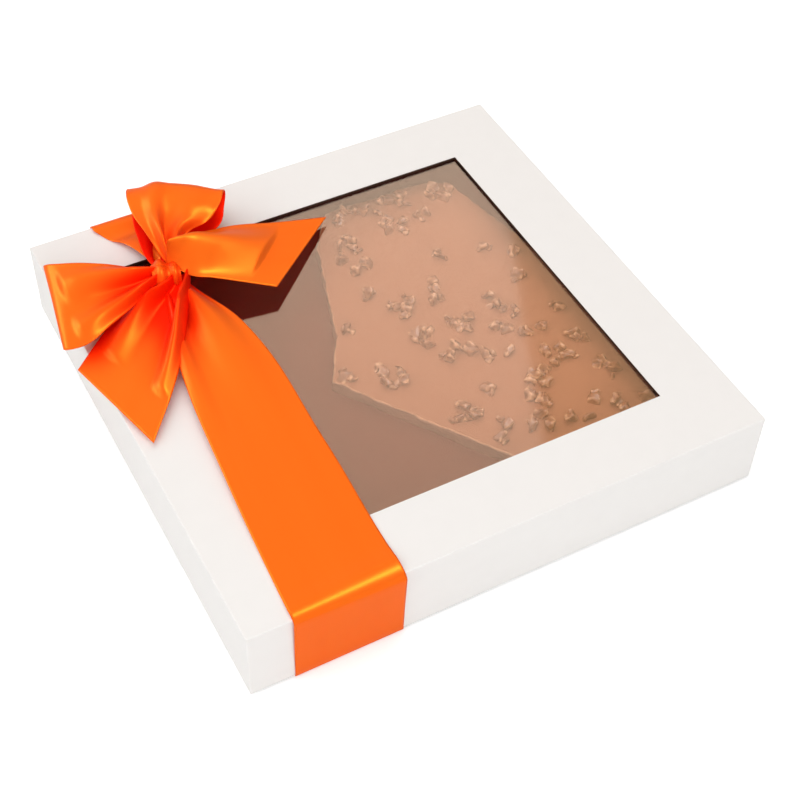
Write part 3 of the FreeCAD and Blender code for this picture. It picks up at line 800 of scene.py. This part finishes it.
knot_middle = (knot_low + knot_high) / 2 - Vector((KNOT_SHIFT, 0, 0))
half_wide = (knot_high.y - knot_low.y) / 2 - KNOT_INSET_Y
half_tall = (knot_high.z - knot_low.z) / 2 - KNOT_INSET_Z
ring = {}
for end in (-1, 1):
    line = []
    for i in range(RING_ROWS + 1):
        swing = math.radians(90) + math.tau * i / RING_ROWS
        around = Vector((end * KNOT_HALF_LONG, half_wide * math.cos(swing), half_tall * math.sin(swing)))
        around.rotate(Euler((0, 0, KNOT_TURN)))
        line.append(knot_middle + around)
    ring[end] = np.array(line)
bm, length = ribbon_sheet(ring[-1], ring[1], [(0.3, 0.3, 1.0), (0.8, 0.18, 0.6)],
                          2.0 * MM, ENDLESS, neck=1.0, width=KNOT_BAND_WIDTH, columns=RING_COLUMNS)
bmesh.ops.remove_doubles(bm, verts=bm.verts, dist=0.02 * MM)
knot_band = finish_ribbon(bm, "knot_band", length, ["bow_knot"],
                          width=KNOT_BAND_WIDTH)

# %% [markdown]
# ## How deep the folds are
# With the whole bow in place, each point of the ribbon looks about itself, once from its face and once from
# its back. The share of its view that other cloth fills, near by, is how deep in a fold it lies, and the
# satin paints that depth into its colour as shade. The fans of rays are the same for every point, so the
# result never changes from run to run. Averaging each point with its neighbours then takes the hard borders
# off.
# The picture shows some pieces redder than others at the same depth, because their folds are closed to
# the light, so each piece has its own share of painted shade.

# %% Fold depth
FOLD_REACH = 36 * MM
FOLD_RAYS = 48
FOLD_OPEN, FOLD_DEEP = 0.02, 0.3
FOLD_SOFTEN = 24
FOLD_LIFT = 0.5 * MM
GOLDEN_HALF_TURNS = 3 - math.sqrt(5)

# each piece's share of painted fold shade on its face; the back always takes the full share
painted_fold_shade_share = {front_ribbon: 1.0, back_ribbon: 0.0, left_loop: 2.6, back_loop: 0.5, left_tail: 2.8,
              right_tail: 0.1, knot_band: 0.6}
whole_bow = bmesh.new()
for piece in painted_fold_shade_share:
    whole_bow.from_mesh(piece.data)
bow_tree = BVHTree.FromBMesh(whole_bow)
whole_bow.free()
fan = []
for i in range(FOLD_RAYS):
    lean = math.asin(math.sqrt((i + 0.5) / FOLD_RAYS))
    swing = i * math.pi * GOLDEN_HALF_TURNS
    fan.append(Vector((math.sin(lean) * math.cos(swing), math.sin(lean) * math.sin(swing), math.cos(lean))))
for piece in painted_fold_shade_share:
    ends = np.array([edge.vertices[:] for edge in piece.data.edges])
    ends = np.vstack([ends, ends[:, ::-1]])
    for attribute, side, share in (("painted_fold_shade_of_face", 1, painted_fold_shade_share[piece]), ("painted_fold_shade_of_back", -1, 1.0)):
        depths = []
        for vert in piece.data.vertices:
            outward = vert.normal * side
            turn = outward.to_track_quat("Z", "Y")
            start = vert.co + outward * FOLD_LIFT
            hits = [bow_tree.ray_cast(start, turn @ ray, FOLD_REACH)[0] for ray in fan]
            met = sum(hit is not None for hit in hits) / FOLD_RAYS
            shut_in = min(1.0, max(0.0, (met - FOLD_OPEN) / (FOLD_DEEP - FOLD_OPEN)))
            depths.append(min(1.0, share * shut_in))
        for _ in range(FOLD_SOFTEN):
            around = np.bincount(ends[:, 0], np.array(depths)[ends[:, 1]], len(depths))
            depths = around / np.bincount(ends[:, 0], minlength=len(depths))
        piece.data.attributes.new(attribute, "FLOAT", "POINT").data.foreach_set("value", depths)
    print(piece.name, "mean fold depth of its back:", round(sum(depths) / len(depths), 2))

# %% [markdown]
# ## Floor
# The picture is high-key: a white table that runs into white surroundings. A matt floor alone would be
# grey where less light reaches it, so it also glows a little where the camera or a gloss sees it, more
# with distance. Near the box the glow is low, which keeps the soft shadow.

# %% Floor
FLOOR_SIZE = 6.0
GLOW_NEAR, GLOW_FAR = 0.6, 2.4
GLOW_LOW, GLOW_FULL = 0.26, 1.0
floor_bm = bmesh.new()
bmesh.ops.create_grid(floor_bm, x_segments=1, y_segments=1, size=FLOOR_SIZE / 2)
floor_mesh = bpy.data.meshes.new("floor")
floor_bm.to_mesh(floor_mesh)
floor_bm.free()
floor = bpy.data.objects.new("floor", floor_mesh)
bpy.context.scene.collection.objects.link(floor)

floor_paint, floor_tree = new_material("white_table_paint")
seen = add_node(floor_tree, "ShaderNodeLightPath").outputs
watched = add_node(floor_tree, "ShaderNodeMath", {0: seen["Is Camera Ray"], 1: seen["Is Glossy Ray"]},
                   operation="ADD")
watched = add_node(floor_tree, "ShaderNodeMath",
                   {0: watched.outputs["Value"], 1: seen["Is Transmission Ray"]}, operation="ADD",
                   use_clamp=True)
spot = add_node(floor_tree, "ShaderNodeTexCoord").outputs["Object"]
far = add_node(floor_tree, "ShaderNodeVectorMath", {0: spot}, operation="LENGTH").outputs["Value"]
far = add_node(floor_tree, "ShaderNodeMapRange", {"Value": far, "From Min": GLOW_NEAR, "From Max": GLOW_FAR,
                                                  "To Min": GLOW_LOW, "To Max": GLOW_FULL})
lift = add_node(floor_tree, "ShaderNodeMath", {0: watched.outputs["Value"], 1: far.outputs["Result"]},
                operation="MULTIPLY")
matt = add_node(floor_tree, "ShaderNodeBsdfDiffuse", {"Color": colour("F5F5F5")})
glow = add_node(floor_tree, "ShaderNodeEmission",
                {"Color": colour("FFFFFF"), "Strength": lift.outputs["Value"]})
table = add_node(floor_tree, "ShaderNodeAddShader", {0: matt.outputs["BSDF"], 1: glow.outputs["Emission"]})
add_node(floor_tree, "ShaderNodeOutputMaterial", {"Surface": table.outputs["Shader"]})
floor_mesh.materials.append(floor_paint)
print("floor:", FLOOR_SIZE, "m wide")

# %% [markdown]
# ## Light
# The surroundings are white to the camera, dim as a lamp, and in gloss a backdrop that darkens upwards.
# The film mirrors a pale panel behind the box on the right, as a veil that ends in a straight edge, so the
# panel stands where that mirrored edge needs it; a warm panel behind it gives the brown cast of a room.
# The other lamps have one task each. Three only light the box and don't show in gloss, so that the film
# stays clear. Three show only in gloss, and light linking keeps them to the satin and the crumbs; on the
# film such a lamp would be a white patch from some side. Together the lamps give even white light, so a
# colour renders as it is written.

# %% World
WORLD_LIGHT = 0.28
BACKDROP_LOW, BACKDROP_HIGH = 0.7, 0.2
BACKDROP_FROM, BACKDROP_TO = 0.6, 0.8

world = bpy.data.worlds.new("studio")
bpy.context.scene.world = world
world.use_nodes = True
world.node_tree.nodes.clear()
seen = add_node(world.node_tree, "ShaderNodeLightPath").outputs
rise = add_node(world.node_tree, "ShaderNodeTexCoord").outputs["Generated"]
rise = add_node(world.node_tree, "ShaderNodeSeparateXYZ", {"Vector": rise}).outputs["Z"]
backdrop = add_node(world.node_tree, "ShaderNodeMapRange",
                    {"Value": rise, "From Min": BACKDROP_FROM, "From Max": BACKDROP_TO,
                     "To Min": BACKDROP_LOW, "To Max": BACKDROP_HIGH})
in_gloss = add_node(world.node_tree, "ShaderNodeMix",
                    {"Factor": seen["Is Glossy Ray"], "A": WORLD_LIGHT, "B": backdrop.outputs["Result"]})
strength = add_node(world.node_tree, "ShaderNodeMapRange",
                    {"Value": seen["Is Camera Ray"], "To Min": in_gloss.outputs["Result"], "To Max": 1.0})
sky = add_node(world.node_tree, "ShaderNodeBackground",
               {"Color": colour("FFFFFF"), "Strength": strength.outputs["Result"]})
add_node(world.node_tree, "ShaderNodeOutputWorld", {"Surface": sky.outputs["Background"]})
print("world:", WORLD_LIGHT, "as light,", BACKDROP_LOW, "low in gloss")

# %% Panel helper
def soft_panel(name, place, aim, width, height, radiance, lights=True, mirrored=True, only_on=None,
               tint="FFFFFF"):
    """A lamp that faces a point and shows the given brightness; it can light only, or show in gloss only,
    and it can be kept to a collection of pieces."""
    lamp = bpy.data.lights.new(name, "AREA")
    lamp.shape = "RECTANGLE"
    lamp.size = width
    lamp.size_y = height
    lamp.energy = radiance * math.pi * width * height
    lamp.color = colour(tint)[:3]
    holder = bpy.data.objects.new(name, lamp)
    holder.location = place
    holder.rotation_euler = (Vector(aim) - Vector(place)).to_track_quat("-Z", "Y").to_euler()
    holder.visible_diffuse = lights
    holder.visible_glossy = mirrored
    holder.light_linking.receiver_collection = only_on
    bpy.context.scene.collection.objects.link(holder)


def way_to(turn, rise):
    """The unit vector at an angle round from X and an angle up from level."""
    return Vector((math.cos(turn) * math.cos(rise), math.sin(turn) * math.cos(rise), math.sin(rise)))


mirrored_eye = Vector((CAMERA_PLACE.x, CAMERA_PLACE.y, 2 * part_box("window_film")[1].z - CAMERA_PLACE.z))
print("the film sees as if from", [round(v, 3) for v in mirrored_eye])

# %% Mirrored panels
VEIL_EDGE = math.radians(54.5)
VEIL_SPAN = math.radians(44)
VEIL_RISE = math.radians(46)
VEIL_DISTANCE = 1.9
VEIL_HEIGHT = 1.0
VEIL_RADIANCE = 0.74
WARM_TURN = math.radians(62)
WARM_DISTANCE = 2.4
WARM_SIZE = (2.6, 1.6)
WARM_RADIANCE = 1.6
WARM_TONE = "FFB866"

panel_place = mirrored_eye + way_to(VEIL_EDGE + VEIL_SPAN / 2, VEIL_RISE) * VEIL_DISTANCE
panel_width = 2 * VEIL_DISTANCE * math.tan(VEIL_SPAN / 2) * math.cos(VEIL_RISE)
soft_panel("veil_panel", panel_place, mirrored_eye, panel_width, VEIL_HEIGHT, VEIL_RADIANCE)
panel_place = mirrored_eye + way_to(WARM_TURN, VEIL_RISE) * WARM_DISTANCE
soft_panel("warm_panel", panel_place, mirrored_eye, *WARM_SIZE, WARM_RADIANCE, lights=False, tint=WARM_TONE)
print("veil panel:", round(panel_width, 2), "m wide")

# %% Lamps that light the box
BOX_MIDDLE = (0.0, 0.0, 0.0)
soft_panel("top_key", (-0.6, -0.2, 2.6), BOX_MIDDLE, 2.6, 2.6, 2.05, mirrored=False)
soft_panel("left_fill", (-1.6, 0.0, 0.95), BOX_MIDDLE, 1.5, 0.9, 2.2, mirrored=False)
soft_panel("front_fill", (-0.1, -1.6, 0.9), BOX_MIDDLE, 1.6, 0.9, 3.1, mirrored=False)
print("lamps so far:", len(bpy.data.lights))

# %% Lamps that show as highlights
sheen_pieces = bpy.data.collections.new("sheen_pieces")
for piece in [*painted_fold_shade_share, topping_piece]:
    sheen_pieces.objects.link(piece)
soft_panel("bend_sheen", (0.85, -0.08, 2.45), BOX_MIDDLE, 0.5, 0.6, 95.0, lights=False, only_on=sheen_pieces)
soft_panel("tail_sheen", (1.6, -0.2, 1.9), BOX_MIDDLE, 1.2, 0.8, 11.0, lights=False, only_on=sheen_pieces)
soft_panel("fold_sheen", (-1.4, 1.4, 1.35), BOX_MIDDLE, 1.2, 1.2, 14.0, lights=False, only_on=sheen_pieces)
